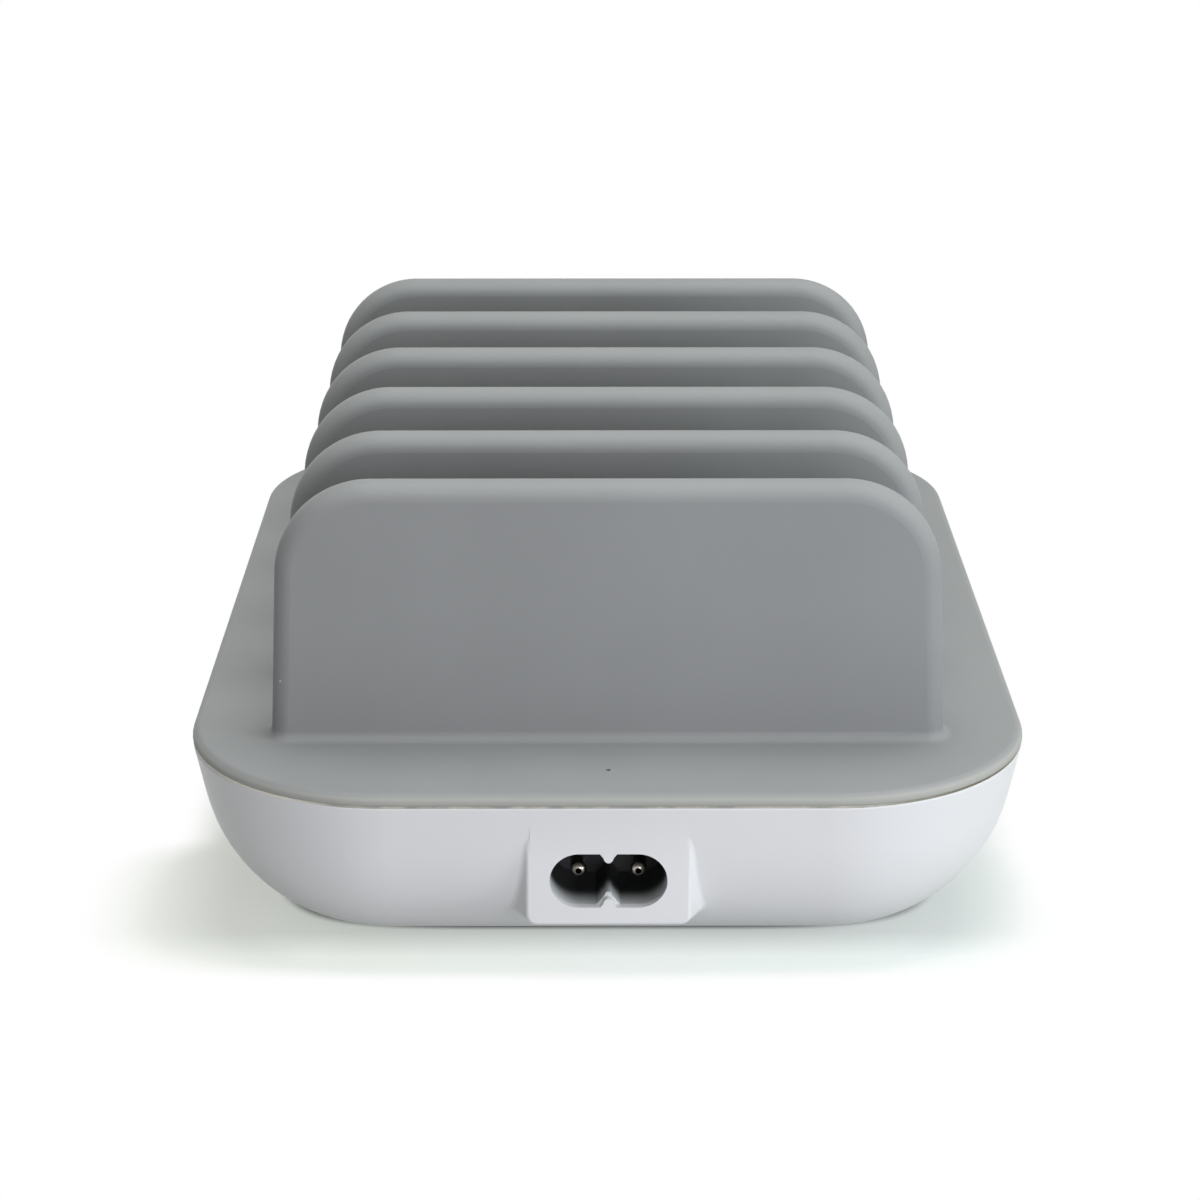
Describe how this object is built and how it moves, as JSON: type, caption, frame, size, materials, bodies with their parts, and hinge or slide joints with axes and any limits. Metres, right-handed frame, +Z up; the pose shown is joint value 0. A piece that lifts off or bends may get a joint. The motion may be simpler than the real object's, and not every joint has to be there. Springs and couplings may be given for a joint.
{
  "type": "charging station organizer",
  "caption": "Low bowl-shaped charging station with upright soft fins that hold phones and tablets on edge, a mains inlet at one end and USB outlets along one side.",
  "frame": {"origin": "middle of the footprint, on the surface that the feet stand on", "axes": "+Z up, -Y towards the mains inlet end, +X towards the side with the USB outlets"},
  "size_m": [0.1242, 0.1724, 0.0705],
  "materials": {
    "white_shell": "moulded white ABS, satin gloss",
    "grey_elastomer": "soft-touch grey elastomer, fine matt",
    "black_abs": "moulded black ABS, matt",
    "foot_rubber": "black rubber, matt",
    "zinc_steel": "bright zinc plate",
    "black_nylon": "moulded black nylon, semi-matt",
    "nickel_brass": "nickel-plated brass, turned",
    "board_laminate": "green solder mask on glass laminate",
    "insulation_film": "thin insulating film",
    "black_resin": "moulded epoxy",
    "yellow_resin": "moulded box, yellow",
    "blue_resin": "dipped epoxy, blue",
    "ferrite": "sintered ferrite",
    "enamelled_copper": "enamelled copper wire",
    "capacitor_sleeve": "shrunk sleeve",
    "bare_aluminium": "rolled sheet",
    "winding_tape": "yellow polyester tape",
    "nickel_shield": "nickel-plated steel sheet",
    "white_nylon": "moulded white nylon",
    "gold_contacts": "gold plate",
    "red_wire": "red insulation",
    "black_wire": "black insulation",
    "clear_lens": "clear epoxy",
    "tinned_wire": "tinned copper"
  },
  "bodies": {
    "root": {"bridge_rectifier": "black_resin", "bulk_capacitor_1": "capacitor_sleeve", "bulk_capacitor_2": "capacitor_sleeve", "case_screws": "zinc_steel", "choke_core": "ferrite", "choke_windings": "enamelled_copper", "controller_chip": "black_resin", "dc_lead_negative": "black_wire", "dc_lead_positive": "red_wire", "deck_frame": "black_abs", "foot_front_left": "foot_rubber", "foot_front_right": "foot_rubber", "foot_rear_left": "foot_rubber", "foot_rear_right": "foot_rubber", "indicator_led": "clear_lens", "inlet_housing": "black_nylon", "inlet_pin_left": "nickel_brass", "inlet_pin_right": "nickel_brass", "insulation_sheet": "insulation_film", "led_leads": "tinned_wire", "lower_shell": "white_shell", "mains_fuse": "black_resin", "optocoupler": "black_resin", "output_capacitors": "capacitor_sleeve", "output_heatsink": "bare_aluminium", "output_rectifier": "black_resin", "port_chips": "black_resin", "power_board": "board_laminate", "power_board_screws": "zinc_steel", "primary_heatsink": "bare_aluminium", "rack_cover": "grey_elastomer", "safety_capacitor": "blue_resin", "suppression_capacitor": "yellow_resin", "switching_transistor": "black_resin", "transformer_bobbin": "black_resin", "transformer_core": "ferrite", "transformer_winding": "winding_tape", "usb_board": "board_laminate", "usb_board_screws": "zinc_steel", "usb_contacts": "gold_contacts", "usb_shell_1": "nickel_shield", "usb_shell_2": "nickel_shield", "usb_shell_3": "nickel_shield", "usb_shell_4": "nickel_shield", "usb_shell_5": "nickel_shield", "usb_tongue_1": "white_nylon", "usb_tongue_2": "white_nylon", "usb_tongue_3": "white_nylon", "usb_tongue_4": "white_nylon", "usb_tongue_5": "white_nylon"}
  },
  "joints": []
}
